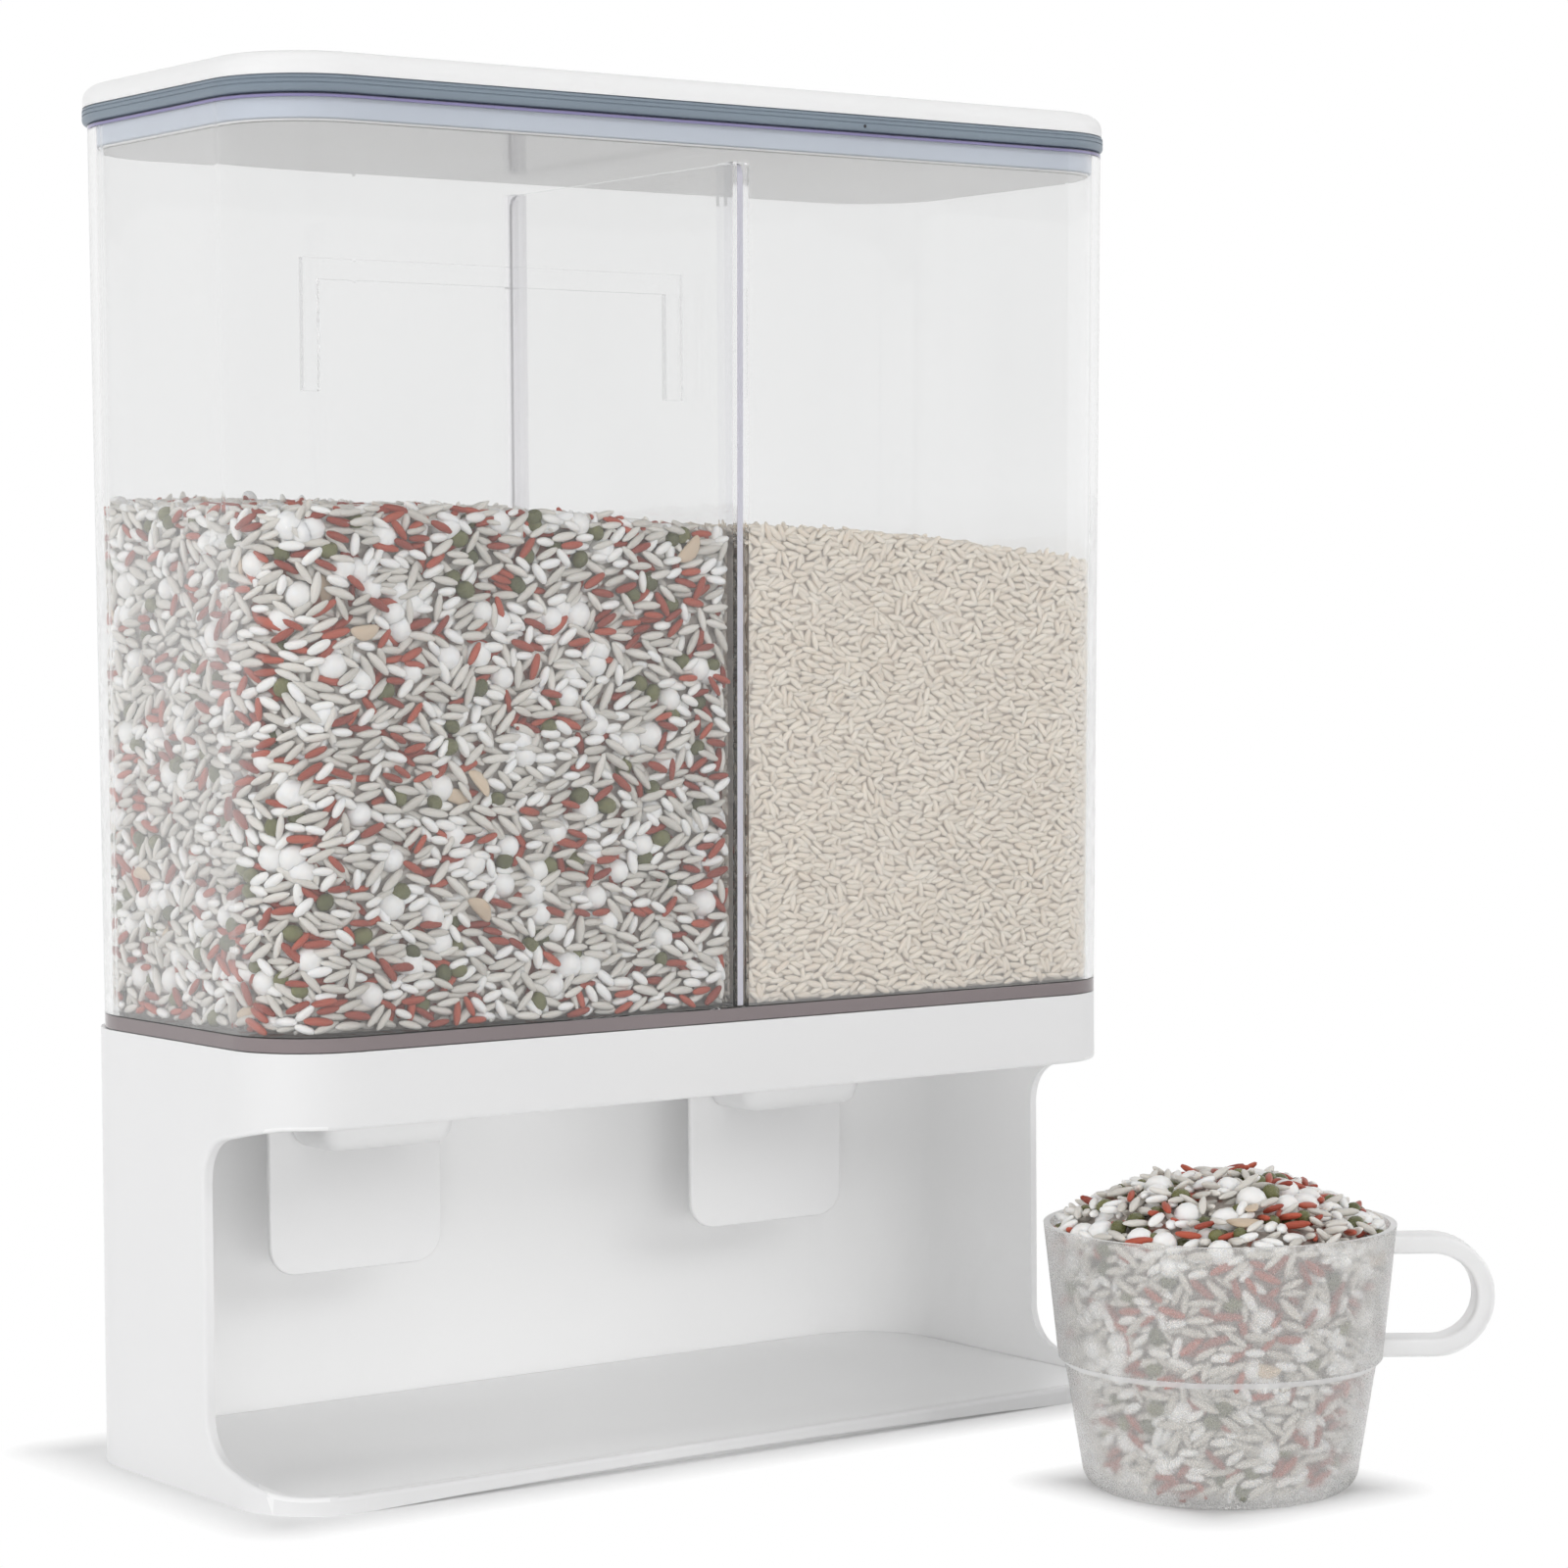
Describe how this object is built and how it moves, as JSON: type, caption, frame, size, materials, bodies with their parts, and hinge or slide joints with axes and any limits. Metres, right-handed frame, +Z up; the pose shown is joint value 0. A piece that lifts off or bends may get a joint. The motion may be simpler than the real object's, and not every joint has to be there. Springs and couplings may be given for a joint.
{
  "type": "wall-mounted rice dispenser",
  "caption": "Wall-mounted grain dispenser: clear divided tank, sealed lid, white base with sprung push plates, and a measuring cup heaped with grain.",
  "frame": {"origin": "centre of the rectangle round the body's footprint, on the surface it stands on, at the middle of the floor tray's pad", "axes": "+Z up, +Y towards the wall behind the dispenser, +X to the right when facing it; the cup stands in front, at -Y"},
  "size_m": [0.3072, 0.292, 0.3957],
  "materials": {
    "white_base": "satin",
    "white_lid": "satin",
    "white_moving": "satin",
    "clear_tank": "gloss",
    "blue_grey_gasket": "satin",
    "clear_seal": "satin",
    "steel": "satin",
    "mixed_grain": "matte",
    "rice": "matte",
    "frosted_cup": "satin"
  },
  "bodies": {
    "dispenser": {"base_shell": "white_base", "floor_tray": "white_base", "tank": "clear_tank", "left_spout": "white_moving", "right_spout": "white_moving", "left_hinge_pin": "steel", "right_hinge_pin": "steel", "left_return_spring": "steel", "right_return_spring": "steel", "left_outlet_seal": "clear_seal", "right_outlet_seal": "clear_seal", "spout_screws": "steel", "tank_screws": "steel", "mixed_grain": "mixed_grain", "rice": "rice"},
    "lid": {"lid_cover": "white_lid", "lid_plug": "white_lid", "lid_gasket": "blue_grey_gasket"},
    "divider": {"divider": "clear_tank"},
    "left_push": {"left_push_plate": "white_moving", "left_flap_pad": "clear_seal"},
    "right_push": {"right_push_plate": "white_moving", "right_flap_pad": "clear_seal"},
    "cup": {"cup": "frosted_cup", "cup_grain": "mixed_grain"}
  },
  "joints": [
    {"name": "lid_lift", "type": "slide", "parent": "dispenser", "child": "lid", "axis": [0, 0, 1], "range_m": [0, 0.12]},
    {"name": "divider_slide", "type": "slide", "parent": "dispenser", "child": "divider", "axis": [0, 0, 1], "range_m": [0, 0.003]},
    {"name": "left_push_hinge", "type": "hinge", "parent": "dispenser", "child": "left_push", "pos_m": [-0.075, 0.0253, 0.0995], "axis": [1, 0, 0], "range_deg": [0, 22], "stiffness_Nm_per_rad": 0.15, "springref_deg": -20.05, "deforming": ["left_return_spring"]},
    {"name": "right_push_hinge", "type": "hinge", "parent": "dispenser", "child": "right_push", "pos_m": [0.075, 0.0253, 0.0995], "axis": [1, 0, 0], "range_deg": [0, 22], "stiffness_Nm_per_rad": 0.15, "springref_deg": -20.05, "deforming": ["right_return_spring"]},
    {"name": "cup_lift", "type": "slide", "parent": "dispenser", "child": "cup", "axis": [0, 0, 1], "range_m": [0, 0.15]}
  ]
}
